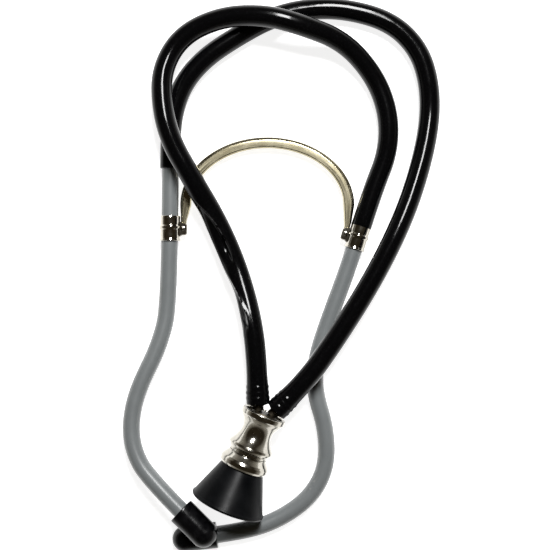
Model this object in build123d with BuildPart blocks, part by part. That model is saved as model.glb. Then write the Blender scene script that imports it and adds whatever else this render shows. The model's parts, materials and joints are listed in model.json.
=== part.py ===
from build123d import *
import os
from math import cos, pi, radians, sin, tan

# A veterinary stethoscope lying on a table, in millimetres.
# The table top is z = 0 and +Z points up from it. +Y runs from the bell towards the hose loops,
# and the origin is on the table under the middle of the rigid pieces.

# ---- Driving dimensions -------------------------------------------------------------------
HOSE_OD = 11.5
HOSE_BORE = 7.0
TUBE_OD = 9.5
TUBE_BORE = 5.0
RUNNING_GAP = 0.05  # radial clearance of pieces that turn or slide on each other
BEND_SHARE = 0.45  # share of the shorter run that a bend may use

SPIGOT_LENGTH = 8.0  # how far an ear tube reaches into its hose

CHEST_AZIMUTH = 68.0  # direction of the chestpiece from its bell to its hoses, from +X
CHEST_PITCH = 2.0  # how much its hose end is lifted
MOUTH_CENTRE = (-10.8, -88.0, 20.8)
MOUTH_RADIUS = 20.8
NIPPLE_SPLAY = 23.5  # angle between each nipple and the chestpiece's axis
NIPPLE_OFFSET = 5.65  # sideways distance of a hose's end from the axis
NIPPLE_RISE = 4.4  # height of a hose's end over the rim of the body

ARCH_CENTRE = (11.0, 76.8)
ARCH_HALF_WIDTH = 48.8
ARCH_HEIGHT = 38.1
STRIP_WIDTH = 6.2
STRIP_THICKNESS = 2.4
ARCH_Z = 6.15

CLAMP_LENGTH = 14.0
CLAMP_SHEET = 0.8
RIDGE_RADIUS = 6.1
RIDGE_LENGTH = 2.0
RIDGE_OFFSET = -0.5  # the ridge sits a little above the middle of the clamp
EAR_REACH = 9.4  # from the ear tube's axis to the free edge of a clamp's ears
EAR_START = 5.0
EAR_ABOVE = 3.0
EAR_BELOW = 3.8
TONGUE_GAP = 0.3
RIVET_RADIUS = 0.9
RIVET_HEAD_RADIUS = 1.5
RIVET_HEAD_HEIGHT = 0.6
RIVET_REACH = 7.4

TIP_SKIRT = 8.5  # length of an ear tip over its tube
TIP_REACH = 16.5  # from the tube's end to the end of the dome
TIP_RADIUS = 7.1
TIP_RIM_RADIUS = 6.5
TIP_HOLE_RADIUS = 1.6
FERRULE_BORE_RADIUS = 1.9
FERRULE_PLUG_LENGTH = 5.0
FERRULE_HEAD_LENGTH = 6.0
FERRULE_RADIUS = 3.9

# Ear tubes, from the shoulder under the hose to the end inside the ear tip
LEFT_TUBE = [
    (-43.3, 98.5, 6.0),
    (-43.5, 24.1, 6.4),
    (-48.6, -0.3, 8.6),
    (-61.0, -25.6, 11.4),
    (-64.7, -43.6, 13.4),
    (-62.8, -59.4, 15.2),
    (-54.3, -73.9, 17.3),
    (-30.1, -96.9, 20.9),
]
RIGHT_TUBE = [
    (63.8, 65.5, 6.15),
    (56.4, 42.1, 6.15),
    (46.2, 15.2, 6.3),
    (38.3, -8.3, 6.5),
    (37.1, -26.2, 6.7),
    (43.9, -48.6, 7.0),
    (44.2, -69.3, 7.1),
    (35.5, -86.0, 7.1),
    (18.8, -98.3, 7.1),
    (-1.4, -105.6, 7.1),
    (-25.6, -108.5, 7.1),
]

# Hoses, from the nipple to the shoulder of the ear tube; their two end points are worked out
# below, from the nipples and the ear tubes
RIGHT_HOSE_LOOP = [
    (2.9, 12.5, 21.0),
    (-4.7, 38.1, 15.5),
    (-16.6, 66.2, 14.0),
    (-30.6, 91.4, 19.5),
    (-41.2, 109.8, 20.0),
    (-46.4, 128.0, 19.6),
    (-47.6, 150.4, 15.0),
    (-36.8, 169.9, 13.6),
    (-15.0, 179.7, 16.4),
    (9.2, 180.2, 19.4),
    (29.2, 175.0, 19.2),
    (53.6, 167.8, 10.5),
    (70.9, 149.6, 5.8),
    (78.9, 128.8, 5.8),
    (78.8, 107.1, 5.9),
]
LEFT_HOSE_LOOP = [
    (46.5, -0.2, 21.5),
    (68.0, 33.4, 20.0),
    (85.2, 67.3, 18.0),
    (95.9, 96.4, 10.5),
    (102.2, 123.8, 5.8),
    (101.7, 146.2, 5.8),
    (95.2, 165.2, 5.8),
    (79.8, 179.8, 5.8),
    (55.2, 186.8, 5.8),
    (32.2, 186.8, 5.8),
    (12.4, 181.6, 5.8),
    (-6.6, 171.0, 5.8),
    (-23.6, 159.6, 5.8),
    (-35.6, 146.0, 5.8),
    (-41.7, 130.0, 5.8),
]
NIPPLE_RUN = 21.0  # first run of a hose, straight over its nipple
RIGHT_END_RUN = 20.5  # last runs of the hoses, straight over the ear tubes
LEFT_END_RUN = 15.0


# ---- Helpers ------------------------------------------------------------------------------
def bend_radii(points):
    """The radius of each bend of a route: as large as its two straight runs leave room for."""
    route = [Vector(*p) for p in points]
    radii = []
    for before, corner, after in zip(route, route[1:], route[2:]):
        run_in = corner - before
        run_out = after - corner
        half_turn = radians(run_in.get_angle(run_out)) / 2
        radii.append(BEND_SHARE * min(run_in.length, run_out.length) / tan(half_turn))
    return radii


def bent_tube(points, outer, bore):
    """A tube along straight runs joined by tangent arcs."""
    with BuildPart() as tube:
        with BuildLine() as route:
            FilletPolyline(*points, radius=bend_radii(points))
        with BuildSketch(Plane(origin=route.line @ 0, z_dir=route.line % 0)):
            Circle(outer / 2)
            Circle(bore / 2, mode=Mode.SUBTRACT)
        sweep()
    return tube.part


def route_length(points):
    """The length of the same route."""
    with BuildLine() as route:
        FilletPolyline(*points, radius=bend_radii(points))
    return sum(edge.length for edge in route.edges())


def turning_plane(frame):
    """The plane of a turned piece's half outline: x runs outwards and y along the axis."""
    return Plane(origin=frame.origin, x_dir=frame.x_dir, z_dir=frame.x_dir.cross(frame.z_dir))


def turned(frame, outline):
    """A solid of revolution about the frame's z axis, from its half outline."""
    with BuildPart() as piece:
        with BuildSketch(turning_plane(frame)):
            with BuildLine():
                Polyline(*outline, close=True)
            make_face()
        revolve(axis=Axis(frame.origin, frame.z_dir))
    return piece.part


def save(piece, name):
    """Labels a finished piece and writes it as its own file."""
    piece.label = name
    export_step(piece, f"parts/{name}.step")


os.makedirs("parts", exist_ok=True)

# ---- Frames -------------------------------------------------------------------------------
# The chestpiece's z axis runs from the bell's mouth up to the hoses, and its x axis is level.
CHEST_AXIS = Vector(
    cos(radians(CHEST_PITCH)) * cos(radians(CHEST_AZIMUTH)),
    cos(radians(CHEST_PITCH)) * sin(radians(CHEST_AZIMUTH)),
    sin(radians(CHEST_PITCH)),
)
CHEST_SIDE = Vector(sin(radians(CHEST_AZIMUTH)), -cos(radians(CHEST_AZIMUTH)), 0)
CHEST = Plane(origin=MOUTH_CENTRE, x_dir=CHEST_SIDE, z_dir=CHEST_AXIS)

# Heights along the chestpiece, from the bell's mouth
CONE_TOP = 22.1
NECK_TOP = 26.0
GASKET_BOTTOM = 26.1
GASKET_TOP = 27.1
SPIGOT_BOTTOM = 27.2
RING_BOTTOM = 22.3
RING_TOP = 30.6
BODY_SHOULDER = 30.8
WAIST_HEIGHT = 43.6
DISH_FLOOR = 50.8
MANIFOLD_BOTTOM = 50.9
MANIFOLD_TOP = 55.1
PLENUM_HEIGHT = 1.2  # the airway inside the manifold, between its two sockets
BODY_TOP = 54.6

THROAT_BOTTOM = 22.0

# Radii of the chestpiece
CONE_TOP_RADIUS = 12.1
THROAT_RADIUS = 5.0
THREAD_RADIUS = 9.0
RING_RADIUS = 13.6
AIRWAY_RADIUS = 3.0
DISH_RADIUS = 10.6
RIM_RADIUS = 12.3
WAIST_RADIUS = 8.45
BEAD_RADIUS = 12.5

# A nipple: how far its parts start below the hose's end, its radii and its barbs
STUD_DEPTH = 7.4
SHANK_DEPTH = 4.6
COLLAR_DEPTH = 1.8
STUD_RADIUS = 2.0
SHANK_RADIUS = 3.0
COLLAR_RADIUS = 4.4
NIPPLE_BORE_RADIUS = 1.4
BARB_RADIUS = 3.4
BARB_ROOT = 2.9
BARB_PITCH = 3.0
BARB_START = 1.5
BARB_COUNT = 3


def nipple_frame(side):
    """The frame of a nipple, at the hose's end, with z along the hose."""
    splay = radians(NIPPLE_SPLAY)
    seat = CHEST.from_local_coords(Vector(side * NIPPLE_OFFSET, 0, BODY_TOP + NIPPLE_RISE))
    along = CHEST_AXIS * cos(splay) + CHEST_SIDE * (side * sin(splay))
    return Plane(origin=seat, x_dir=CHEST.y_dir, z_dir=along)


NIPPLE_FRAMES = {"left": nipple_frame(-1), "right": nipple_frame(1)}


def tube_frame(points, distance, x_towards):
    """A frame on an ear tube's first run, with z down the tube and x level towards the arch."""
    start = Vector(*points[0])
    along = (Vector(*points[1]) - start).normalized()
    level = Vector(0, 0, 1).cross(along) * x_towards
    return Plane(origin=start + along * distance, x_dir=level.normalized(), z_dir=along)


CLAMP_FRAMES = {
    "left": tube_frame(LEFT_TUBE, 34.7, 1),
    "right": tube_frame(RIGHT_TUBE, CLAMP_LENGTH / 2, -1),
}


# ---- Chestpiece ---------------------------------------------------------------------------
with BuildPart() as bell:
    with BuildSketch(turning_plane(CHEST)):
        with BuildLine():
            Polyline(
                (MOUTH_RADIUS - 1.8, 0),
                (MOUTH_RADIUS - 0.8, 0),
                (MOUTH_RADIUS, 0.8),
                (MOUTH_RADIUS - 0.8, 2.0),
                (CONE_TOP_RADIUS, CONE_TOP),
                (THREAD_RADIUS, CONE_TOP),
                (THREAD_RADIUS, NECK_TOP),
                (THROAT_RADIUS, NECK_TOP),
                (THROAT_RADIUS, THROAT_BOTTOM),
                (CONE_TOP_RADIUS - 2.5, THROAT_BOTTOM - 2.4),
                close=True,
            )
        make_face()
    revolve(axis=Axis(CHEST.origin, CHEST.z_dir))
save(bell.part, "bell")

with BuildPart() as bell_gasket:
    with BuildSketch(CHEST.offset(GASKET_BOTTOM)):
        Circle(THREAD_RADIUS - 0.2)
        Circle(THROAT_RADIUS, mode=Mode.SUBTRACT)
    extrude(amount=GASKET_TOP - GASKET_BOTTOM)
save(bell_gasket.part, "bell_gasket")

with BuildPart() as coupling_ring:
    with BuildSketch(turning_plane(CHEST)):
        with BuildLine():
            Polyline(
                (THREAD_RADIUS + RUNNING_GAP, RING_BOTTOM),
                (RING_RADIUS - 1.0, RING_BOTTOM),
                (RING_RADIUS - 0.2, RING_BOTTOM + 0.8),
                (RING_RADIUS, RING_BOTTOM + 1.7),
                (RING_RADIUS, RING_BOTTOM + 3.7),
                (RING_RADIUS - 0.5, RING_BOTTOM + 4.7),
                (RING_RADIUS - 2.5, RING_TOP - 0.8),
                (RING_RADIUS - 2.8, RING_TOP),
                (THREAD_RADIUS + RUNNING_GAP, RING_TOP),
                close=True,
            )
        make_face()
    revolve(axis=Axis(CHEST.origin, CHEST.z_dir))
save(coupling_ring.part, "coupling_ring")

with BuildPart() as chest_body:
    with BuildSketch(turning_plane(CHEST)):
        with BuildLine():
            Polyline(
                (RIM_RADIUS - 0.4, BODY_TOP - 3.6),
                (RIM_RADIUS, BODY_TOP - 3.0),
                (RIM_RADIUS, BODY_TOP - 0.5),
                (RIM_RADIUS - 0.5, BODY_TOP),
                (DISH_RADIUS, BODY_TOP),
                (DISH_RADIUS, DISH_FLOOR),
                (AIRWAY_RADIUS, DISH_FLOOR),
                (AIRWAY_RADIUS, SPIGOT_BOTTOM),
                (THREAD_RADIUS, SPIGOT_BOTTOM),
                (THREAD_RADIUS, BODY_SHOULDER),
                (BEAD_RADIUS - 1.7, BODY_SHOULDER),
                (BEAD_RADIUS - 1.6, BODY_SHOULDER + 1.0),
                (BEAD_RADIUS - 0.5, BODY_SHOULDER + 2.6),
                (BEAD_RADIUS, BODY_SHOULDER + 3.8),
                (BEAD_RADIUS - 0.5, BODY_SHOULDER + 5.0),
            )
            ThreePointArc(
                (BEAD_RADIUS - 0.5, BODY_SHOULDER + 5.0),
                (WAIST_RADIUS, WAIST_HEIGHT),
                (RIM_RADIUS - 0.4, BODY_TOP - 3.6),
            )
        make_face()
    revolve(axis=Axis(CHEST.origin, CHEST.z_dir))
save(chest_body.part, "chest_body")

with BuildPart() as manifold:
    with BuildSketch(turning_plane(CHEST)):
        with BuildLine():
            Polyline(
                (0, MANIFOLD_BOTTOM),
                (DISH_RADIUS - 0.1, MANIFOLD_BOTTOM),
                (DISH_RADIUS - 0.1, MANIFOLD_BOTTOM + 1.0),
                (DISH_RADIUS - 3.0, MANIFOLD_BOTTOM + 1.4),
                (DISH_RADIUS - 4.0, MANIFOLD_TOP - 0.6),
                (0, MANIFOLD_TOP),
                close=True,
            )
        make_face()
    revolve(axis=Axis(CHEST.origin, CHEST.z_dir))
    with BuildSketch(CHEST.offset(MANIFOLD_BOTTOM)):
        Circle(AIRWAY_RADIUS)
    extrude(amount=PLENUM_HEIGHT, mode=Mode.SUBTRACT)
    for nipple in NIPPLE_FRAMES.values():
        with BuildSketch(nipple.offset(-STUD_DEPTH - 1.0)):
            Circle(STUD_RADIUS + RUNNING_GAP)
        extrude(amount=STUD_DEPTH + 1.0 - SHANK_DEPTH, mode=Mode.SUBTRACT)
        with BuildSketch(nipple.offset(-SHANK_DEPTH)):
            Circle(SHANK_RADIUS + RUNNING_GAP)
        extrude(amount=SHANK_DEPTH, mode=Mode.SUBTRACT)
save(manifold.part, "manifold")


def nipple_outline():
    """The half outline of a barbed nipple: stud, shank, collar under the hose, then barbs."""
    outline = [
        (NIPPLE_BORE_RADIUS, -STUD_DEPTH),
        (STUD_RADIUS, -STUD_DEPTH),
        (STUD_RADIUS, -SHANK_DEPTH),
        (SHANK_RADIUS, -SHANK_DEPTH),
        (SHANK_RADIUS, -COLLAR_DEPTH),
        (COLLAR_RADIUS - 0.3, -COLLAR_DEPTH),
        (COLLAR_RADIUS, 0.3 - COLLAR_DEPTH),
        (COLLAR_RADIUS, 0),
        (BARB_ROOT, 0),
    ]
    for barb in range(BARB_COUNT):
        base = BARB_START + barb * BARB_PITCH
        outline += [(BARB_ROOT, base), (BARB_RADIUS, base + 0.3)]
    end = BARB_START + BARB_COUNT * BARB_PITCH
    return outline + [(BARB_ROOT - 0.4, end), (NIPPLE_BORE_RADIUS, end)]


for side_name, frame in NIPPLE_FRAMES.items():
    save(turned(frame, nipple_outline()), f"nipple_{side_name}")


# ---- Ear tubes, with the spigot that the hose is pushed on --------------------------------
def ear_tube(points):
    """A bent ear tube, open from end to end, with a narrower spigot at its top."""
    top = tube_frame(points, 0, 1)
    with BuildPart() as tube:
        add(bent_tube(points, TUBE_OD, TUBE_BORE))
        with BuildSketch(top):
            Circle(HOSE_BORE / 2 - RUNNING_GAP)
            Circle(TUBE_BORE / 2, mode=Mode.SUBTRACT)
        extrude(amount=-SPIGOT_LENGTH)
    return tube.part


def end_frame(points):
    """The frame at an ear tube's lower end, with z out of the tube."""
    along = (Vector(*points[-1]) - Vector(*points[-2])).normalized()
    return Plane(origin=points[-1], x_dir=Vector(0, 0, 1).cross(along), z_dir=along)


# A ferrule plugs the tube's end and carries the ear tip
FERRULE_OUTLINE = [
    (FERRULE_BORE_RADIUS, -FERRULE_PLUG_LENGTH),
    (TUBE_BORE / 2 - RUNNING_GAP, -FERRULE_PLUG_LENGTH),
    (TUBE_BORE / 2 - RUNNING_GAP, 0),
    (FERRULE_RADIUS, 0),
    (FERRULE_RADIUS, FERRULE_HEAD_LENGTH - 0.6),
    (FERRULE_RADIUS - 0.6, FERRULE_HEAD_LENGTH),
    (FERRULE_BORE_RADIUS, FERRULE_HEAD_LENGTH),
]


def ear_tip(frame):
    """A domed ear tip: a skirt over the tube, a socket over the ferrule and a sound hole."""
    socket = FERRULE_RADIUS + RUNNING_GAP
    skirt = TUBE_OD / 2 + RUNNING_GAP
    dome_start = TIP_REACH - TIP_RADIUS
    with BuildPart() as tip:
        with BuildSketch(turning_plane(frame)):
            with BuildLine():
                RadiusArc((TIP_RADIUS, dome_start), (TIP_HOLE_RADIUS + 0.5, TIP_REACH), -TIP_RADIUS)
                Polyline(
                    (TIP_HOLE_RADIUS + 0.5, TIP_REACH),
                    (TIP_HOLE_RADIUS, TIP_REACH - 0.6),
                    (TIP_HOLE_RADIUS, FERRULE_HEAD_LENGTH + 0.3),
                    (socket, FERRULE_HEAD_LENGTH + 0.3),
                    (socket, 0.3),
                    (skirt, 0.3),
                    (skirt, -TIP_SKIRT),
                    (TIP_RIM_RADIUS - 0.6, -TIP_SKIRT),
                    (TIP_RIM_RADIUS, -TIP_SKIRT + 0.8),
                    (TIP_RADIUS, -1.0),
                    (TIP_RADIUS, dome_start),
                )
            make_face()
        revolve(axis=Axis(frame.origin, frame.z_dir))
    return tip.part


for side_name, points in (("left", LEFT_TUBE), ("right", RIGHT_TUBE)):
    save(ear_tube(points), f"ear_tube_{side_name}")
    save(turned(end_frame(points), FERRULE_OUTLINE), f"tip_ferrule_{side_name}")
    save(ear_tip(end_frame(points)), f"ear_tip_{side_name}")


# ---- Spring arch --------------------------------------------------------------------------
# Each leg narrows to a tongue between the ears of its clamp. The tongues' inner and outer edges
# are this far from the ear tube's axis.
TONGUE_NEAR = 5.9
TONGUE_FAR = 8.9
LEG_TOP = ARCH_CENTRE[1]


def rivet_plane(frame):
    """The plane of a clamp's rivet: through the tongue's mid thickness, seen from above."""
    seat = frame.from_local_coords(Vector(RIVET_REACH, 0, 0))
    return Plane(origin=seat, x_dir=frame.x_dir, z_dir=(0, 0, 1))


def tongue_corner(frame, reach, down):
    """A corner of a tongue, in plan."""
    corner = frame.from_local_coords(Vector(reach, 0, down))
    return (corner.X, corner.Y)


def leg_outline(side):
    """A leg in plan: the arch's end, then the tongue along the clamp."""
    frame = CLAMP_FRAMES["right" if side > 0 else "left"]
    outer_edge = ARCH_CENTRE[0] + side * ARCH_HALF_WIDTH
    inner_edge = outer_edge - side * STRIP_WIDTH
    return [
        (inner_edge, LEG_TOP),
        (outer_edge, LEG_TOP),
        tongue_corner(frame, TONGUE_NEAR, -CLAMP_LENGTH / 2),
        tongue_corner(frame, TONGUE_NEAR, EAR_BELOW - 0.3),
        tongue_corner(frame, TONGUE_FAR, EAR_BELOW - 0.3),
        tongue_corner(frame, TONGUE_FAR + 0.3, -EAR_ABOVE - 1.0),
    ]


with BuildPart() as spring_arch:
    with BuildSketch(Plane.XY.offset(ARCH_Z - STRIP_THICKNESS / 2)):
        with Locations(ARCH_CENTRE):
            Ellipse(ARCH_HALF_WIDTH, ARCH_HEIGHT)
            Ellipse(ARCH_HALF_WIDTH - STRIP_WIDTH, ARCH_HEIGHT - STRIP_WIDTH, mode=Mode.SUBTRACT)
            Rectangle(
                3 * ARCH_HALF_WIDTH,
                2 * ARCH_HEIGHT,
                align=(Align.CENTER, Align.MAX),
                mode=Mode.SUBTRACT,
            )
        for leg_side in (-1, 1):
            with BuildLine():
                Polyline(*leg_outline(leg_side), close=True)
            make_face()
    extrude(amount=STRIP_THICKNESS)
    for frame in CLAMP_FRAMES.values():
        with BuildSketch(rivet_plane(frame)):
            Circle(RIVET_RADIUS + RUNNING_GAP)
        extrude(amount=STRIP_THICKNESS, both=True, mode=Mode.SUBTRACT)
save(spring_arch.part, "spring_arch")

# ---- Clamps and their rivets --------------------------------------------------------------
BAND_BORE = TUBE_OD / 2 + RUNNING_GAP
BAND_RADIUS = BAND_BORE + CLAMP_SHEET
SLOT_HALF = STRIP_THICKNESS / 2 + TONGUE_GAP
EARS_HALF = SLOT_HALF + CLAMP_SHEET


def clamp(frame):
    """A sheet band round the ear tube, with a pressed ridge and two ears over the tongue."""
    with BuildPart() as band:
        with BuildSketch(frame.offset(-CLAMP_LENGTH / 2)):
            Circle(BAND_RADIUS)
        extrude(amount=CLAMP_LENGTH)
        with BuildSketch(frame.offset(RIDGE_OFFSET - RIDGE_LENGTH / 2)):
            Circle(RIDGE_RADIUS)
        extrude(amount=RIDGE_LENGTH)
        with BuildSketch(frame.offset(-EAR_ABOVE)):
            with Locations((EAR_START, 0)):
                Rectangle(
                    EAR_REACH - EAR_START,
                    2 * EARS_HALF,
                    align=(Align.MIN, Align.CENTER),
                )
        extrude(amount=EAR_ABOVE + EAR_BELOW)
        with BuildSketch(frame.offset(-CLAMP_LENGTH / 2)):
            Circle(BAND_BORE)
            with Locations((EAR_START - 1.5, 0)):
                Rectangle(EAR_REACH, 2 * SLOT_HALF, align=(Align.MIN, Align.CENTER))
        extrude(amount=CLAMP_LENGTH, mode=Mode.SUBTRACT)
        with BuildSketch(rivet_plane(frame)):
            Circle(RIVET_RADIUS + RUNNING_GAP)
        extrude(amount=2 * EARS_HALF, both=True, mode=Mode.SUBTRACT)
    return band.part


def rivet(frame):
    """A round-headed rivet through both ears and the tongue."""
    outside = EARS_HALF + 0.1
    crown = outside + RIVET_HEAD_HEIGHT
    return turned(
        rivet_plane(frame),
        [
            (0, -crown),
            (0.7 * RIVET_HEAD_RADIUS, -crown + 0.2),
            (RIVET_HEAD_RADIUS, -outside),
            (RIVET_RADIUS, -outside),
            (RIVET_RADIUS, outside),
            (RIVET_HEAD_RADIUS, outside),
            (0.7 * RIVET_HEAD_RADIUS, crown - 0.2),
            (0, crown),
        ],
    )


for side_name, frame in CLAMP_FRAMES.items():
    save(clamp(frame), f"clamp_{side_name}")
    save(rivet(frame), f"clamp_rivet_{side_name}")


# ---- Hoses --------------------------------------------------------------------------------
def hose_route(frame, loop, tube, end_run):
    """A hose's whole route: straight off its nipple, round its loop, straight onto its tube."""
    seat = frame.origin
    shoulder = Vector(*tube[0])
    up_tube = (shoulder - Vector(*tube[1])).normalized()
    ends_at = [shoulder + up_tube * end_run, shoulder]
    return [seat, seat + frame.z_dir * NIPPLE_RUN, *[Vector(*p) for p in loop], *ends_at]


HOSES = {
    "left": hose_route(NIPPLE_FRAMES["right"], LEFT_HOSE_LOOP, LEFT_TUBE, LEFT_END_RUN),
    "right": hose_route(NIPPLE_FRAMES["left"], RIGHT_HOSE_LOOP, RIGHT_TUBE, RIGHT_END_RUN),
}
for side_name, route in HOSES.items():
    points = [tuple(p) for p in route]
    hose = bent_tube(points, HOSE_OD, HOSE_BORE)
    save(hose, f"hose_{side_name}")
    length = route_length(points)
    section = pi * (HOSE_OD**2 - HOSE_BORE**2) / 4
    print(f"hose_{side_name}: length {length:.1f}, volume {hose.volume:.0f}")
    print(f"  section x length {section * length:.0f}")
    print("  radii", [round(radius, 1) for radius in bend_radii(points)])
    print("  points", [tuple(round(c, 1) for c in p) for p in points])
for side_name, points in (("left", LEFT_TUBE), ("right", RIGHT_TUBE)):
    print(f"ear_tube_{side_name}: radii", [round(r, 1) for r in bend_radii(points)])
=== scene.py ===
import json
import math

import bpy
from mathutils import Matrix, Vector


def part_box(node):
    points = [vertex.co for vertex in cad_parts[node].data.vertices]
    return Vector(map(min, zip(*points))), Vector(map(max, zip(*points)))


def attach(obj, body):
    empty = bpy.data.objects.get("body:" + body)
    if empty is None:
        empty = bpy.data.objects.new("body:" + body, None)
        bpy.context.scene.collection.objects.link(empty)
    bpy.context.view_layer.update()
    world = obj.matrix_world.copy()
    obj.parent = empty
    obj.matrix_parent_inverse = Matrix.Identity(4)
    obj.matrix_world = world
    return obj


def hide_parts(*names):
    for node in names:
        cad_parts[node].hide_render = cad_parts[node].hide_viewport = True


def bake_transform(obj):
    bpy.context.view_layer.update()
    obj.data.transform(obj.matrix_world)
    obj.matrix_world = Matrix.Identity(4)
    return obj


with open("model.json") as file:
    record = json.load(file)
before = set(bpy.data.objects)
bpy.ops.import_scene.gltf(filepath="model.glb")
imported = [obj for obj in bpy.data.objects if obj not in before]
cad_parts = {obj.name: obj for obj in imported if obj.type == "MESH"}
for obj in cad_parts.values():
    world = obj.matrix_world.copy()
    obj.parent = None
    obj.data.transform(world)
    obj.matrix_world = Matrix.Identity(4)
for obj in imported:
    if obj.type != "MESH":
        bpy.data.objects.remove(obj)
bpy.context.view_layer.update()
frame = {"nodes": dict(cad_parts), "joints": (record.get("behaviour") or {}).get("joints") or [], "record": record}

# A stethoscope lying on a white table. Everything is in metres, in the part's frame:
# +Z up, +Y from the bell towards the hose loops.

MM = 0.001
JOINTS = {joint["name"]: joint for joint in frame["joints"]}
MOUNTS = {mount["name"]: mount for mount in frame["record"]["mounts"]}
UP = Vector((0, 0, 1))

# ---- Sizes shared with the CAD, in millimetres ------------------------------------------------
HOSE_RADIUS = 5.75
TUBE_RADIUS = 4.75
TUBE_BORE_RADIUS = 2.5
SPIGOT_LENGTH = 8.0
SPIGOT_RADIUS = 3.45

ARCH_CENTRE = (11.0, 76.8)
ARCH_HALF_WIDTH = 48.8
ARCH_HEIGHT = 38.1
STRIP_WIDTH = 6.2
STRIP_THICKNESS = 2.4
TONGUE_NEAR = 5.9
TONGUE_FAR = 8.9
CLAMP_HALF = 7.0
EAR_ABOVE = 3.0
EAR_BELOW = 3.8

# Routes, as in the CAD: the control points of one smooth line each
HOSE_ROUTES = {
    "left": [
        (16.5, -35.4, 22.9),
        (31.5, -20.7, 23.5),
        (46.5, -0.2, 21.5),
        (68.0, 33.4, 20.0),
        (85.2, 67.3, 18.0),
        (95.9, 96.4, 10.5),
        (102.2, 123.8, 5.8),
        (101.7, 146.2, 5.8),
        (95.2, 165.2, 5.8),
        (79.8, 179.8, 5.8),
        (55.2, 186.8, 5.8),
        (32.2, 186.8, 5.8),
        (12.4, 181.6, 5.8),
        (-6.6, 171.0, 5.8),
        (-23.6, 159.6, 5.8),
        (-35.6, 146.0, 5.8),
        (-41.7, 130.0, 5.8),
        (-43.3, 113.5, 5.9),
        (-43.3, 98.5, 6.0),
    ],
    "right": [
        (6.0, -31.2, 22.9),
        (5.5, -10.2, 23.5),
        (2.9, 12.5, 21.0),
        (-4.7, 38.1, 15.5),
        (-16.6, 66.2, 14.0),
        (-30.6, 91.4, 19.5),
        (-41.2, 109.8, 20.0),
        (-46.4, 128.0, 19.6),
        (-47.6, 150.4, 15.0),
        (-36.8, 169.9, 13.6),
        (-15.0, 179.7, 16.4),
        (9.2, 180.2, 19.4),
        (29.2, 175.0, 19.2),
        (53.6, 167.8, 10.5),
        (70.9, 149.6, 5.8),
        (78.9, 128.8, 5.8),
        (78.8, 107.1, 5.9),
        (70.0, 85.0, 6.15),
        (63.8, 65.5, 6.15),
    ],
}
TUBE_ROUTES = {
    "left": [
        (-43.3, 98.5, 6.0),
        (-43.5, 24.1, 6.4),
        (-48.6, -0.3, 8.6),
        (-61.0, -25.6, 11.4),
        (-64.7, -43.6, 13.4),
        (-62.8, -59.4, 15.2),
        (-54.3, -73.9, 17.3),
        (-30.1, -96.9, 20.9),
    ],
    "right": [
        (63.8, 65.5, 6.15),
        (56.4, 42.1, 6.15),
        (46.2, 15.2, 6.3),
        (38.3, -8.3, 6.5),
        (37.1, -26.2, 6.7),
        (43.9, -48.6, 7.0),
        (44.2, -69.3, 7.1),
        (35.5, -86.0, 7.1),
        (18.8, -98.3, 7.1),
        (-1.4, -105.6, 7.1),
        (-25.6, -108.5, 7.1),
    ],
}


# ---- Camera -----------------------------------------------------------------------------------
VIEW_CENTRE = Vector((0.0153, 0.0377, 0.006))
CAMERA_DISTANCE = 0.594
FRAME_WIDTH = 0.308  # what the camera takes in at the object
SENSOR = 36.0


def make_camera():
    data = bpy.data.cameras.new("camera")
    data.sensor_width = SENSOR
    data.lens = SENSOR * CAMERA_DISTANCE / FRAME_WIDTH
    data.clip_start = 0.01
    camera = bpy.data.objects.new("camera", data)
    camera.location = VIEW_CENTRE + UP * CAMERA_DISTANCE
    bpy.context.scene.collection.objects.link(camera)
    bpy.context.scene.camera = camera


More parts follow.
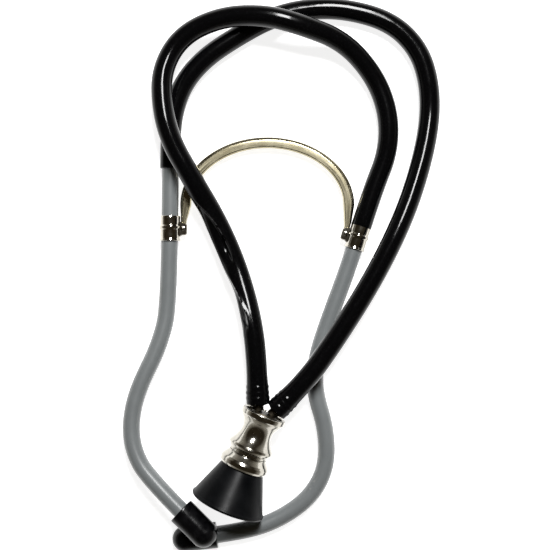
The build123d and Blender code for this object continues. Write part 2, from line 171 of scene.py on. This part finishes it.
# ---- Materials --------------------------------------------------------------------------------
class Nodes:
    """A principled material with short calls for the nodes that this scene uses."""

    def __init__(self, name, metallic=0.0):
        self.material = bpy.data.materials.new(name)
        self.material.use_nodes = True
        self.tree = self.material.node_tree
        self.shader = self.tree.nodes["Principled BSDF"]
        self.shader.inputs["Metallic"].default_value = metallic

    def place(self, stretch=(1, 1, 1), flow=False):
        """Texture coordinates: the object's own, or along the piece's surface."""
        if flow:
            source = self.tree.nodes.new("ShaderNodeUVMap")
            source.uv_map = "flow"
            out = source.outputs["UV"]
        else:
            source = self.tree.nodes.new("ShaderNodeTexCoord")
            out = source.outputs["Object"]
        mapping = self.tree.nodes.new("ShaderNodeMapping")
        mapping.inputs["Scale"].default_value = stretch
        self.tree.links.new(out, mapping.inputs["Vector"])
        return mapping.outputs["Vector"]

    def noise(self, scale, detail=3.0, rough=0.5, where=None):
        node = self.tree.nodes.new("ShaderNodeTexNoise")
        node.inputs["Scale"].default_value = scale
        node.inputs["Detail"].default_value = detail
        node.inputs["Roughness"].default_value = rough
        self.tree.links.new(where or self.place(), node.inputs["Vector"])
        return node.outputs["Fac"]

    def ramp(self, factor, stops):
        node = self.tree.nodes.new("ShaderNodeValToRGB")
        while len(node.color_ramp.elements) < len(stops):
            node.color_ramp.elements.new(1.0)
        for element, (position, colour) in zip(node.color_ramp.elements, stops):
            element.position = position
            element.color = (*colour, 1.0)
        self.tree.links.new(factor, node.inputs["Fac"])
        return node.outputs["Color"]

    def span(self, factor, low, high, start=0.3, end=0.7):
        node = self.tree.nodes.new("ShaderNodeMapRange")
        node.inputs["From Min"].default_value = start
        node.inputs["From Max"].default_value = end
        node.inputs["To Min"].default_value = low
        node.inputs["To Max"].default_value = high
        self.tree.links.new(factor, node.inputs["Value"])
        return node.outputs["Result"]

    def colour(self, out):
        self.tree.links.new(out, self.shader.inputs["Base Color"])

    def roughness(self, out):
        self.tree.links.new(out, self.shader.inputs["Roughness"])

    def bump(self, *layers):
        """Stacks bumps; a layer is its height, its strength and its depth in metres."""
        normal = None
        for height, strength, depth in layers:
            node = self.tree.nodes.new("ShaderNodeBump")
            node.inputs["Strength"].default_value = strength
            node.inputs["Distance"].default_value = depth
            self.tree.links.new(height, node.inputs["Height"])
            if normal is not None:
                self.tree.links.new(normal, node.inputs["Normal"])
            normal = node.outputs["Normal"]
        self.tree.links.new(normal, self.shader.inputs["Normal"])


def hose_rubber():
    """Glossy black rubber with faint drawing lines, dull patches and a little dust."""
    m = Nodes("hose_rubber")
    lines = m.noise(900, 2, 0.6, m.place((1, 0.02, 1), flow=True))
    patches = m.noise(60, 4, 0.6)
    dust = m.noise(1400, 2, 0.7)
    m.colour(m.ramp(dust, [(0.55, (0.0012, 0.0012, 0.0014)), (0.75, (0.005, 0.005, 0.0055))]))
    m.roughness(m.span(patches, 0.09, 0.17))
    m.bump((lines, 0.15, 0.00003), (m.noise(110, 2), 0.3, 0.0004))
    m.shader.inputs["Specular IOR Level"].default_value = 0.16
    return m.material


def moulded_black():
    """Satin black moulding with a fine grain and faint flow marks."""
    m = Nodes("bell_black")
    grain = m.noise(2200, 2, 0.6)
    patches = m.noise(90, 4, 0.6)
    m.colour(m.ramp(patches, [(0.35, (0.001, 0.0012, 0.0015)), (0.75, (0.003, 0.0033, 0.0038))]))
    m.roughness(m.span(patches, 0.3, 0.42))
    m.bump((grain, 0.2, 0.00002), (m.noise(140, 2), 0.15, 0.0002))
    m.shader.inputs["Specular IOR Level"].default_value = 0.07
    return m.material


def tip_black():
    """Glossy black ear tip with light handling marks."""
    m = Nodes("tip_black")
    marks = m.noise(300, 4, 0.65)
    m.colour(m.ramp(marks, [(0.4, (0.0015, 0.0015, 0.0018)), (0.8, (0.005, 0.005, 0.0055))]))
    m.roughness(m.span(marks, 0.14, 0.24))
    m.bump((m.noise(1500, 2), 0.1, 0.00003), (m.noise(150, 2), 0.1, 0.0002))
    m.shader.inputs["Specular IOR Level"].default_value = 0.18
    return m.material


def tube_enamel():
    """Grey enamel with a slight orange peel and rubbed spots."""
    m = Nodes("tube_grey")
    patches = m.noise(45, 5, 0.6)
    rubbed = m.noise(700, 3, 0.7)
    m.colour(
        m.ramp(patches, [(0.3, (0.118, 0.127, 0.129)), (0.7, (0.140, 0.150, 0.152))])
    )
    m.roughness(m.span(rubbed, 0.27, 0.36))
    m.bump((m.noise(500, 2), 0.08, 0.0001), (rubbed, 0.05, 0.00003))
    m.shader.inputs["Coat Weight"].default_value = 0.15
    m.shader.inputs["Coat Roughness"].default_value = 0.15
    return m.material


def nickel(name, tint, rough, flow):
    """Nickel plate with smudges, fine turning or rubbing lines and warm, tired spots."""
    m = Nodes(name, metallic=1.0)
    smudges = m.noise(160, 5, 0.6)
    worn = m.noise(420, 4, 0.7)
    dull = tuple(0.7 * c for c in tint)
    m.colour(m.ramp(worn, [(0.42, tint), (0.85, dull)]))
    m.roughness(m.span(smudges, rough, rough + 0.1))
    lines = m.noise(1500, 2, 0.6, m.place((0.03, 1, 1), flow=True) if flow else None)
    m.bump((lines, 0.06, 0.00001))
    return m.material


def spring_nickel():
    """The arch's satin strip: lengthwise rubbing, stains, and an olive-yellow tint that is a painted reflection of
    the warm room overhead.
    """
    m = Nodes("spring_steel", metallic=1.0)
    streaks = m.noise(700, 4, 0.65, m.place((1, 0.05, 1), flow=True))
    stains = m.noise(120, 5, 0.65)
    # Olive-yellow tint: painted reflection of the warm room overhead, varied at random by the stains
    m.colour(m.ramp(stains, [(0.3, (0.50, 0.46, 0.33)), (0.7, (0.34, 0.30, 0.19))]))
    m.roughness(m.span(streaks, 0.18, 0.32))
    m.bump((streaks, 0.25, 0.00004), (m.noise(900, 3), 0.12, 0.00003))
    return m.material


def gasket_rubber():
    """Matt black rubber of the flat washer."""
    m = Nodes("gasket_rubber")
    grain = m.noise(1200, 3, 0.6)
    m.colour(m.ramp(grain, [(0.4, (0.012, 0.012, 0.012)), (0.8, (0.03, 0.03, 0.03))]))
    m.roughness(m.span(grain, 0.6, 0.8))
    m.bump((grain, 0.3, 0.00005))
    return m.material


def table_top():
    """White card, bright enough to read as a clean ground."""
    m = Nodes("table_white")
    fibre = m.noise(700, 3, 0.6)
    m.colour(m.ramp(fibre, [(0.3, (0.66, 0.66, 0.66)), (0.7, (0.70, 0.70, 0.70))]))
    m.roughness(m.span(fibre, 0.75, 0.9))
    m.bump((fibre, 0.1, 0.00003))
    m.shader.inputs["Specular IOR Level"].default_value = 0.1
    m.shader.inputs["Emission Color"].default_value = (1, 1, 1, 1)
    m.shader.inputs["Emission Strength"].default_value = 0.85
    return m.material


MATERIALS = {
    "hose_rubber": hose_rubber(),
    "bell_black": moulded_black(),
    "tip_black": tip_black(),
    "tube_grey": tube_enamel(),
    "nickel": nickel("nickel", (0.47, 0.45, 0.40), 0.09, flow=True),
    "nickel_plain": nickel("nickel_plain", (0.47, 0.45, 0.40), 0.12, flow=False),
    # Painted shade: a nearly black tint for the manifold and nipples, which sit down in the chestpiece's dish
    # where there is shade and the black hoses' reflection
    "nickel_painted_shade": nickel("nickel_painted_shade", (0.05, 0.042, 0.03), 0.42, flow=False),
    "clamp_nickel": nickel("clamp_nickel", (0.50, 0.475, 0.42), 0.07, flow=True),
    "spring_steel": spring_nickel(),
    "gasket_rubber": gasket_rubber(),
}


# ---- Mesh helpers -----------------------------------------------------------------------------
class Place:
    """A local frame: x level, z along the piece's own axis."""

    def __init__(self, origin, along, flip=1):
        self.origin = Vector(origin)
        self.z = Vector(along).normalized()
        self.x = UP.cross(self.z).normalized() * flip
        self.y = self.z.cross(self.x)

    def at(self, x, y, z):
        """A point from local millimetres."""
        return self.origin + (self.x * x + self.y * y + self.z * z) * MM


def make_piece(name, grid, closed_rows, material, sharp=35):
    """A mesh from a grid of rings: every ring is closed, and the rows too if closed_rows."""
    rows = len(grid)
    columns = len(grid[0])
    vertices = [tuple(point) for ring in grid for point, _ in ring]
    faces = []
    flow = []
    for row in range(rows if closed_rows else rows - 1):
        after = (row + 1) % rows
        for column in range(columns):
            beside = (column + 1) % columns
            corners = [(row, column), (row, beside), (after, beside), (after, column)]
            faces.append([r * columns + c for r, c in corners])
            for r, c in corners:
                u, v = grid[r][c][1]
                if beside == 0 and c == 0:  # the last face closes the ring, so u runs on past it
                    u = grid[r][columns - 1][1][0] * 2 - grid[r][columns - 2][1][0]
                flow.append((u, v))
    mesh = bpy.data.meshes.new(name)
    mesh.from_pydata(vertices, [], faces)
    layer = mesh.uv_layers.new(name="flow")
    for loop, uv in zip(layer.data, flow):
        loop.uv = uv
    mesh.shade_smooth()
    mesh.set_sharp_from_angle(angle=math.radians(sharp))
    mesh.materials.append(MATERIALS[material])
    piece = bpy.data.objects.new(name, mesh)
    bpy.context.scene.collection.objects.link(piece)
    return piece


def rounded(outline, steps=5):
    """A closed outline of (x, y, corner radius) with each such corner turned into an arc."""
    points = []
    count = len(outline)
    for index, (x, y, radius) in enumerate(outline):
        corner = Vector((x, y))
        to_before = Vector(outline[index - 1][:2]) - corner
        to_after = Vector(outline[(index + 1) % count][:2]) - corner
        if radius <= 0:
            points.append(corner)
            continue
        half = to_before.angle(to_after) / 2
        room = 0.48 * min(to_before.length, to_after.length)
        reach = min(radius / math.tan(half), room)
        start = corner + to_before.normalized() * reach
        end = corner + to_after.normalized() * reach
        for step in range(steps + 1):
            t = step / steps
            points.append(start * (1 - t) ** 2 + corner * (2 * t * (1 - t)) + end * t**2)
    return points


def lathe(name, outline, place, material, segments=128, sharp=35):
    """A turned piece from its closed half outline of (radius, height, corner radius)."""
    points = rounded(outline)
    grid = []
    travelled = 0.0
    for index, point in enumerate(points):
        travelled += (point - points[index - 1]).length if index else 0
        ring = []
        for segment in range(segments):
            angle = 2 * math.pi * segment / segments
            where = place.at(point.x * math.cos(angle), point.x * math.sin(angle), point.y)
            ring.append((where, (angle * point.x * MM, travelled * MM)))
        grid.append(ring)
    return make_piece(name, grid, True, material, sharp)


def nurbs_line(name, route):
    """Points along the smooth NURBS line of a route given in millimetres."""
    curve = bpy.data.curves.new(name, "CURVE")
    curve.dimensions = "3D"
    curve.resolution_u = 24
    spline = curve.splines.new("NURBS")
    spline.points.add(len(route) - 1)
    for control, point in zip(spline.points, route):
        control.co = (*[c * MM for c in point], 1)
    spline.order_u = 3
    spline.use_endpoint_u = True
    carrier = bpy.data.objects.new(name, curve)
    bpy.context.scene.collection.objects.link(carrier)
    depsgraph = bpy.context.evaluated_depsgraph_get()
    mesh = bpy.data.meshes.new_from_object(carrier.evaluated_get(depsgraph))
    line = [vertex.co.copy() for vertex in mesh.vertices]
    bpy.data.objects.remove(carrier)
    bpy.data.curves.remove(curve)
    bpy.data.meshes.remove(mesh)
    return line


class Line:
    """A smooth line that can be asked for its point and direction at a distance, in mm."""

    def __init__(self, name, route):
        self.points = nurbs_line(name, route)
        self.reached = [0.0]
        for before, after in zip(self.points, self.points[1:]):
            self.reached.append(self.reached[-1] + (after - before).length / MM)
        self.length = self.reached[-1]

    def at(self, distance):
        """Where the line is, and which way it runs; it goes on straight past its ends."""
        index = 1
        while index < len(self.reached) - 1 and self.reached[index] < distance:
            index += 1
        start, end = self.points[index - 1], self.points[index]
        share = (distance - self.reached[index - 1]) / (self.reached[index] - self.reached[index - 1])
        before = self.points[max(index - 2, 0)]
        after = self.points[min(index + 1, len(self.points) - 1)]
        return start.lerp(end, share), (after - before).normalized()


def tube(name, line, stations, reach, material, segments=64):
    """A tube round a line. A station is a distance and a radius; reach(distance, angle, radius)
    gives the radius that is used. Angle 0 is the tube's top, and a quarter turn its right."""
    grid = []
    for distance, radius in stations:
        where, along = line.at(distance)
        side = along.cross(UP).normalized()
        top = side.cross(along)
        ring = []
        for segment in range(segments):
            angle = 2 * math.pi * segment / segments
            used = reach(distance, angle, radius) * MM
            offset = (top * math.cos(angle) + side * math.sin(angle)) * used
            ring.append((where + offset, (angle * radius * MM, distance * MM)))
        grid.append(ring)
    return make_piece(name, grid, False, material, sharp=50)


def hill(x, centre, width):
    """1 at the centre, falling smoothly to 0 at width on either side."""
    gap = abs(x - centre) / width
    return 0.5 * (1 + math.cos(math.pi * gap)) if gap < 1 else 0.0


def turn_gap(angle, centre):
    """The signed difference of two angles, within half a turn."""
    return (angle - centre + math.pi) % (2 * math.pi) - math.pi


# ---- Hoses ------------------------------------------------------------------------------------
BARBS = (2.2, 5.2, 8.2)  # where the nipple's barbs stretch the hose, from its end
SEATED = 1.2  # how far the hose is pushed on over the nipple's shoulder
SWELL_REACH = 17.0  # how far the hose takes to come back to its own width
SWELL_HEIGHT = 0.6
BARB_HEIGHT = 0.4
BARB_REACH = 1.4
WALL_STEP = 0.6  # between the rings of a hose's outer wall
OUTER_SHARE = 0.9  # stations under this share of the radius belong to the bore and its rim


def hose_stations(length):
    """Distances and radii: bore, rounded rim, long outer wall, rim and bore again."""
    rim = [(2.0, 0.62), (0.4, 0.62), (0.0, 0.79), (0.0, 0.9), (0.15, 0.97), (0.5, 1.0)]
    start = [(distance - SEATED, share * HOSE_RADIUS) for distance, share in rim]
    wall = [(d * WALL_STEP, HOSE_RADIUS) for d in range(int((length - 1.0) / WALL_STEP))]
    end = [(length - distance, radius) for distance, radius in reversed(start)]
    return start + wall + end


PEAK = 0.3  # where along a fold its valley is deepest
RIDGE_WIDTH = 10  # of a fold's ridge, in degrees round the hose


class Fold:
    """A fold of a kinked hose: a thin raised ridge with a valley on its left, which starts
    slowly at its far end and stops short at its near end."""

    def __init__(self, near, far, near_angle, far_angle, hurry, depth, width, ridge):
        self.near, self.far = near, far
        self.near_angle, self.far_angle = near_angle, far_angle
        self.hurry = hurry  # how late the ridge swings over to its far angle
        self.depth, self.width, self.ridge = depth, width, ridge

    def height(self, distance, angle):
        """What the fold adds to the hose's radius."""
        share = (distance - self.near) / (self.far - self.near)
        if not 0 < share < 1:
            return 0.0
        swung = self.near_angle + (self.far_angle - self.near_angle) * share**self.hurry
        gap = math.degrees(turn_gap(angle, math.radians(swung)))
        strength = hill(share, PEAK, PEAK if share < PEAK else 1 - PEAK)
        ridge = self.ridge * math.exp(-((gap / RIDGE_WIDTH) ** 2))
        inside = -gap / self.width
        valley = math.sin(math.pi * inside**0.7) if 0 < inside < 1 else 0.0
        return strength * (ridge - self.depth * valley)


FOLDS = {
    "left": [],
    "right": [
        Fold(72, 124, 8, -85, 4, depth=3.3, width=100, ridge=0.9),
        Fold(36, 80, -16, -80, 2, depth=2.4, width=88, ridge=0.7),
    ],
}
FLATTENING = {"left": 0.0, "right": 0.75}  # how much wider than high the kinked stretch is
FLAT_MIDDLE = 88.0
FLAT_REACH = 52.0


def hose_wall(side):
    """The hose's radius: swollen over the barbs, flattened and folded where it is kinked."""

    def reach(distance, angle, radius):
        if radius < OUTER_SHARE * HOSE_RADIUS:
            return radius
        radius += SWELL_HEIGHT * hill(distance, 0, SWELL_REACH)
        for barb in BARBS:
            lopsided = 0.75 + 0.25 * math.sin(3 * angle + barb)
            radius += BARB_HEIGHT * lopsided * hill(distance, barb, BARB_REACH)
        flat = FLATTENING[side] * hill(distance, FLAT_MIDDLE, FLAT_REACH)
        radius -= flat * math.cos(2 * angle)
        return radius + sum(fold.height(distance, angle) for fold in FOLDS[side])

    return reach


def make_hoses():
    for side, route in HOSE_ROUTES.items():
        line = Line(f"hose_{side}_line", route)
        hose = tube(
            f"hose_{side}_rubber",
            line,
            hose_stations(line.length),
            hose_wall(side),
            "hose_rubber",
        )
        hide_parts(f"hose_{side}")
        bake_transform(hose)


# ---- Ear tubes --------------------------------------------------------------------------------
def plain(_distance, _angle, radius):
    return radius


def make_ear_tubes():
    for side, route in TUBE_ROUTES.items():
        line = Line(f"ear_tube_{side}_line", route)
        wall = [(step, TUBE_RADIUS) for step in range(1, int(line.length))]
        stations = [
            (-SPIGOT_LENGTH, TUBE_BORE_RADIUS),
            (-SPIGOT_LENGTH, SPIGOT_RADIUS - 0.3),
            (0.3 - SPIGOT_LENGTH, SPIGOT_RADIUS),
            (-0.05, SPIGOT_RADIUS),
            (0.0, TUBE_RADIUS - 0.3),
            (0.3, TUBE_RADIUS),
            *wall,
            (line.length, TUBE_RADIUS),
            (line.length, TUBE_BORE_RADIUS),
        ]
        piece = tube(f"ear_tube_{side}_enamel", line, stations, plain, "tube_grey")
        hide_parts(f"ear_tube_{side}")
        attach(piece, f"tube_{side}")


# ---- Ear tips ---------------------------------------------------------------------------------
TIP_MOUNT_HEIGHT = 11.0  # of the sound hole's mount, from the tube's end
TIP_RADII = {"left": 7.6, "right": 7.15}
SKIRT_BOTTOM = -8.5
SKIRT_BORE_RADIUS = 4.85
BARREL_TOP = 9.4
DOME_HEIGHT = 7.1
SOUND_HOLE_RADIUS = 1.6
SOCKET_TOP = 6.5


def tip_outline(radius):
    """Half outline of an ear tip: a skirt, a straight barrel, a dome and the sound hole."""
    dome = []
    for degrees in range(6, 73, 6):
        angle = math.radians(degrees)
        dome.append((radius * math.cos(angle), BARREL_TOP + DOME_HEIGHT * math.sin(angle), 0))
    return [
        (SKIRT_BORE_RADIUS, SKIRT_BOTTOM, 0.3),
        (radius, SKIRT_BOTTOM, 0.5),
        (radius + 0.1, -7.6, 0.5),
        (radius, -0.5, 1.0),
        (radius, BARREL_TOP, 0),
        *dome,
        (1.9, 16.3, 0.3),
        (SOUND_HOLE_RADIUS, 15.4, 0.3),
        (SOUND_HOLE_RADIUS, SOCKET_TOP, 0),
        (SKIRT_BORE_RADIUS, SOCKET_TOP, 0),
    ]


def make_ear_tips():
    for side, radius in TIP_RADII.items():
        mount = MOUNTS[f"ear_tip_{side}_hole"]
        along = Vector(mount["axis"])
        place = Place(Vector(mount["pos_m"]) - along * TIP_MOUNT_HEIGHT * MM, along)
        outline = tip_outline(radius)
        tip = lathe(f"ear_tip_{side}_dome", outline, place, "tip_black")
        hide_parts(f"ear_tip_{side}")
        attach(tip, f"tip_{side}")


# ---- Chestpiece -------------------------------------------------------------------------------
RING_MOUNT_HEIGHT = 26.0  # of the ring's joint, from the bell's mouth
MOUTH_RADIUS = 20.8

chest_along = -Vector(JOINTS["bell_off"]["axis"])
chest_origin = Vector(JOINTS["ring_turn"]["pos_m"]) - chest_along * RING_MOUNT_HEIGHT * MM
CHEST = Place(chest_origin, chest_along)


def make_bell():
    outline = [
        (MOUTH_RADIUS - 1.8, 0.0, 0.3),
        (MOUTH_RADIUS - 0.5, 0.0, 0.5),
        (MOUTH_RADIUS, 1.1, 0.7),
        (MOUTH_RADIUS - 0.9, 2.4, 1.2),
        (12.1, 22.1, 0.3),
        (9.0, 22.1, 0),
        (9.0, 26.0, 0.2),
        (5.0, 26.0, 0.2),
        (5.0, 22.0, 0.5),
        (9.6, 19.6, 1.5),
    ]
    bell = lathe("bell_shell", outline, CHEST, "bell_black", segments=160)
    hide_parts("bell")
    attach(bell, "bell_head")


def make_ring():
    outline = [
        (9.05, 22.3, 0.2),
        (12.4, 22.3, 0.3),
        (13.0, 22.9, 0.3),
        (13.6, 24.0, 0.5),
        (13.6, 26.0, 0.9),
        (12.9, 27.3, 0.8),
        (11.4, 29.2, 0.9),
        (10.8, 30.0, 0.3),
        (10.8, 30.6, 0.2),
        (9.05, 30.6, 0.2),
    ]
    ring = lathe("coupling_ring_plate", outline, CHEST, "nickel", segments=160)
    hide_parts("coupling_ring")
    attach(ring, "ring")


WAIST_BOTTOM = 36.2
WAIST_TOP = 50.9
WAIST_RADIUS = 12.0  # at its ends
WAIST_DEPTH = 3.55
WAIST_STEPS = 16


def make_chest_body():
    waist = []
    for step in range(1, WAIST_STEPS):
        t = step / WAIST_STEPS
        height = WAIST_BOTTOM + (WAIST_TOP - WAIST_BOTTOM) * t
        waist.append((WAIST_RADIUS - WAIST_DEPTH * math.sin(math.pi * t) ** 0.85, height, 0))
    waist.reverse()
    outline = [
        (11.8, 51.2, 0.4),
        (12.3, 51.8, 0.3),
        (12.3, 54.2, 0.4),
        (11.6, 54.6, 0.2),
        (10.9, 54.6, 0.2),
        (10.6, 54.1, 0.2),
        (10.6, 50.8, 0.2),
        (3.0, 50.8, 0),
        (3.0, 27.2, 0),
        (9.0, 27.2, 0),
        (9.0, 30.8, 0),
        (10.7, 30.8, 0.2),
        (10.9, 32.0, 0.3),
        (11.9, 33.4, 0.4),
        (12.5, 34.6, 0.5),
        (12.1, 35.8, 0.4),
    ]
    outline = [*outline, *reversed(waist)]
    body = lathe("chest_body_plate", outline, CHEST, "nickel", segments=160)
    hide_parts("chest_body")
    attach(body, "frame")


# ---- Clamps and arch --------------------------------------------------------------------------
CLAMPS = {
    "left": Place(JOINTS["swivel_left"]["pos_m"], JOINTS["swivel_left"]["axis"], 1),
    "right": Place(JOINTS["swivel_right"]["pos_m"], JOINTS["swivel_right"]["axis"], -1),
}


def make_clamps():
    for side, place in CLAMPS.items():
        outline = [
            (4.8, -7.0, 0.15),
            (5.5, -7.0, 0.3),
            (5.65, -6.2, 0.4),
            (5.6, -1.9, 0.5),
            (6.1, -1.0, 0.5),
            (6.1, 0.0, 0.5),
            (5.6, 0.9, 0.5),
            (5.6, 5.6, 0.5),
            (6.0, 6.8, 0.3),
            (5.7, 7.0, 0.15),
            (5.2, 6.4, 0.2),
            (4.8, 5.6, 0.2),
        ]
        band = lathe(f"clamp_{side}_band", outline, place, "clamp_nickel")
        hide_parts(f"clamp_{side}")
        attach(band, f"arm_{side}")
        for level in (-1, 1):
            ear = make_ear(side, place, level)
            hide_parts(f"clamp_{side}")
            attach(ear, f"arm_{side}")


EAR_SHEET = 0.8
EAR_GAP = STRIP_THICKNESS / 2 + 0.3
EAR_MIDDLE = Vector((7.0, 0.4))
# Share of the ear's outline and height in sheet thicknesses, from its lower to its upper face
EAR_LAYERS = [
    (0.3, -0.52),
    (0.86, -0.5),
    (0.97, -0.48),
    (1.0, -0.3),
    (1.0, 0.3),
    (0.97, 0.48),
    (0.86, 0.5),
    (0.3, 0.52),
]


def make_ear(side, place, level):
    """One folded ear of a clamp, a rounded plate beside the arch's tongue."""
    plate = rounded(
        [
            (4.4, -EAR_ABOVE - 1.2, 0.3),
            (7.4, -EAR_ABOVE, 1.6),
            (9.4, -EAR_ABOVE + 0.6, 1.2),
            (9.4, EAR_BELOW, 1.4),
            (6.6, EAR_BELOW, 1.2),
            (4.4, EAR_BELOW + 1.6, 0.3),
        ]
    )
    height = level * (EAR_GAP + EAR_SHEET / 2)
    grid = []
    for share, depth in EAR_LAYERS:
        ring = []
        for point in plate:
            flat = EAR_MIDDLE + (point - EAR_MIDDLE) * share
            where = place.at(flat.x, height + depth * EAR_SHEET, flat.y)
            ring.append((where, (flat.x * MM, flat.y * MM)))
        grid.append(ring)
    name = f"clamp_{side}_ear_{'low' if level < 0 else 'high'}"
    return make_piece(name, grid, False, "clamp_nickel")


ARCH_STEPS = 60
LEG_STEPS = 24
# Each half of the arch, with its clamp's arm and two points on the strip; the halves are built fixed, and the arm
# and points are not used
ARCH_BENDS = {
    "left": ("arm_left", (0.0110, 0.1149, 0.0), (-0.0330, 0.0800, 0.0)),
    "right": ("arm_right", (0.0110, 0.1149, 0.0), (0.0550, 0.0800, 0.0)),
}


def strip_profile():
    """The strip's section, from its outer to its inner edge: (share of width, height in mm)."""
    half = STRIP_THICKNESS / 2
    corners = [
        (0.0, -half, 0.5),
        (1.0, -half, 0.5),
        (1.0, 0.2 * half, 0.5),
        (0.88, half, 0.6),
        (0.26, half, 1.2),
        (0.0, 0.0, 0.9),
    ]
    stretched = [(x * STRIP_WIDTH, z, r) for x, z, r in corners]
    return [(point.x / STRIP_WIDTH, point.y) for point in rounded(stretched)]


def along_corners(corners, share):
    """A point on straight runs between corners, at a share of their number."""
    scaled = share * (len(corners) - 1)
    index = min(int(scaled), len(corners) - 2)
    return corners[index].lerp(corners[index + 1], scaled - index)


def arch_edges(side):
    """Pairs of outer and inner points of one half of the arch, from the top to the tongue."""
    sign = 1 if side == "right" else -1
    centre = Vector(ARCH_CENTRE)
    pairs = []
    for step in range(ARCH_STEPS + 1):
        angle = math.pi / 2 * (1 - step / ARCH_STEPS)
        pair = []
        for inset in (0, STRIP_WIDTH):
            across = (ARCH_HALF_WIDTH - inset) * math.cos(angle) * sign
            up = (ARCH_HEIGHT - inset) * math.sin(angle)
            pair.append(centre + Vector((across, up)))
        pairs.append(pair)
    place = CLAMPS[side]

    def corner(reach, down):
        point = place.at(reach, 0, down) / MM
        return Vector((point.x, point.y))

    outer = [pairs[-1][0], corner(TONGUE_NEAR, -CLAMP_HALF), corner(TONGUE_NEAR, EAR_BELOW - 0.3)]
    inner = [
        pairs[-1][1],
        corner(TONGUE_FAR + 0.3, -EAR_ABOVE - 1.0),
        corner(TONGUE_FAR, EAR_BELOW - 0.3),
    ]
    for step in range(1, LEG_STEPS + 1):
        share = step / LEG_STEPS
        pairs.append([along_corners(outer, share), along_corners(inner, share)])
    return pairs


def make_arch():
    low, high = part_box("spring_arch")
    level = (low.z + high.z) / 2 / MM
    profile = strip_profile()
    for side, (arm, start, end) in ARCH_BENDS.items():
        grid = []
        travelled = 0.0
        before = None
        for outer, inner in arch_edges(side):
            middle = (outer + inner) / 2
            travelled += (middle - before).length if before else 0
            before = middle
            ring = []
            for across, height in profile:
                flat = outer.lerp(inner, across)
                where = Vector((flat.x, flat.y, level + height)) * MM
                ring.append((where, (across * STRIP_WIDTH * MM, travelled * MM)))
            grid.append(ring if side == "left" else list(reversed(ring)))
        half = make_piece(f"arch_{side}_strip", grid, False, "spring_steel")
        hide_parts("spring_arch")
        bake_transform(half)


def dress_cad_nodes():
    """Materials for the CAD pieces that are shown as they are."""
    looks = {
        # The manifold and nipples get the nearly black nickel, painted shade for the dish's dark interior
        "manifold": "nickel_painted_shade",
        "nipple_left": "nickel_painted_shade",
        "nipple_right": "nickel_painted_shade",
        "tip_ferrule_left": "nickel_plain",
        "tip_ferrule_right": "nickel_plain",
        "clamp_rivet_left": "nickel_plain",
        "clamp_rivet_right": "nickel_plain",
        "bell_gasket": "gasket_rubber",
    }
    for name, node in frame["nodes"].items():
        node.data.materials.clear()
        node.data.materials.append(MATERIALS[looks.get(name, "nickel_plain")])


# ---- Table, world and light -------------------------------------------------------------------
TABLE_HALF = 8


def make_table():
    mesh = bpy.data.meshes.new("table")
    half = TABLE_HALF
    corners = [(-half, -half, 0), (half, -half, 0), (half, half, 0), (-half, half, 0)]
    mesh.from_pydata(corners, [], [(0, 1, 2, 3)])
    mesh.materials.append(table_top())
    table = bpy.data.objects.new("table", mesh)
    bpy.context.scene.collection.objects.link(table)


def make_world():
    """A room that is dark and warm overhead and pale towards the horizon."""
    world = bpy.data.worlds.new("room")
    world.use_nodes = True
    tree = world.node_tree
    direction = tree.nodes.new("ShaderNodeTexCoord")
    split = tree.nodes.new("ShaderNodeSeparateXYZ")
    ramp = tree.nodes.new("ShaderNodeValToRGB")
    stops = [(0.0, (0.56, 0.55, 0.52)), (0.2, (0.34, 0.32, 0.28)), (0.45, (0.035, 0.027, 0.016))]
    ramp.color_ramp.elements.new(0.5)
    for element, (height, colour) in zip(ramp.color_ramp.elements, stops):
        element.position = height
        element.color = (*colour, 1)
    tree.links.new(direction.outputs["Generated"], split.inputs["Vector"])
    tree.links.new(split.outputs["Z"], ramp.inputs["Fac"])
    tree.links.new(ramp.outputs["Color"], tree.nodes["Background"].inputs["Color"])
    bpy.context.scene.world = world
    bpy.context.scene.view_settings.view_transform = "Standard"


def soft_light(name, place, target, size, power):
    data = bpy.data.lights.new(name, "AREA")
    data.shape = "RECTANGLE"
    data.size = size[0]
    data.size_y = size[1]
    data.energy = power
    light = bpy.data.objects.new(name, data)
    light.location = place
    light.rotation_euler = (Vector(target) - Vector(place)).to_track_quat("-Z", "Y").to_euler()
    bpy.context.scene.collection.objects.link(light)


def make_light():
    """One window, long towards the hose loops, so that the chrome shows one long highlight."""
    soft_light("window", (0.17, 0.74, 1.08), (0.01, 0.02, 0.0), (0.24, 0.56), 30)


# ---- Assembly ---------------------------------------------------------------------------------
make_camera()
make_hoses()
make_ear_tubes()
make_ear_tips()
make_bell()
make_ring()
make_chest_body()
make_clamps()
make_arch()
dress_cad_nodes()
make_table()
make_world()
make_light()
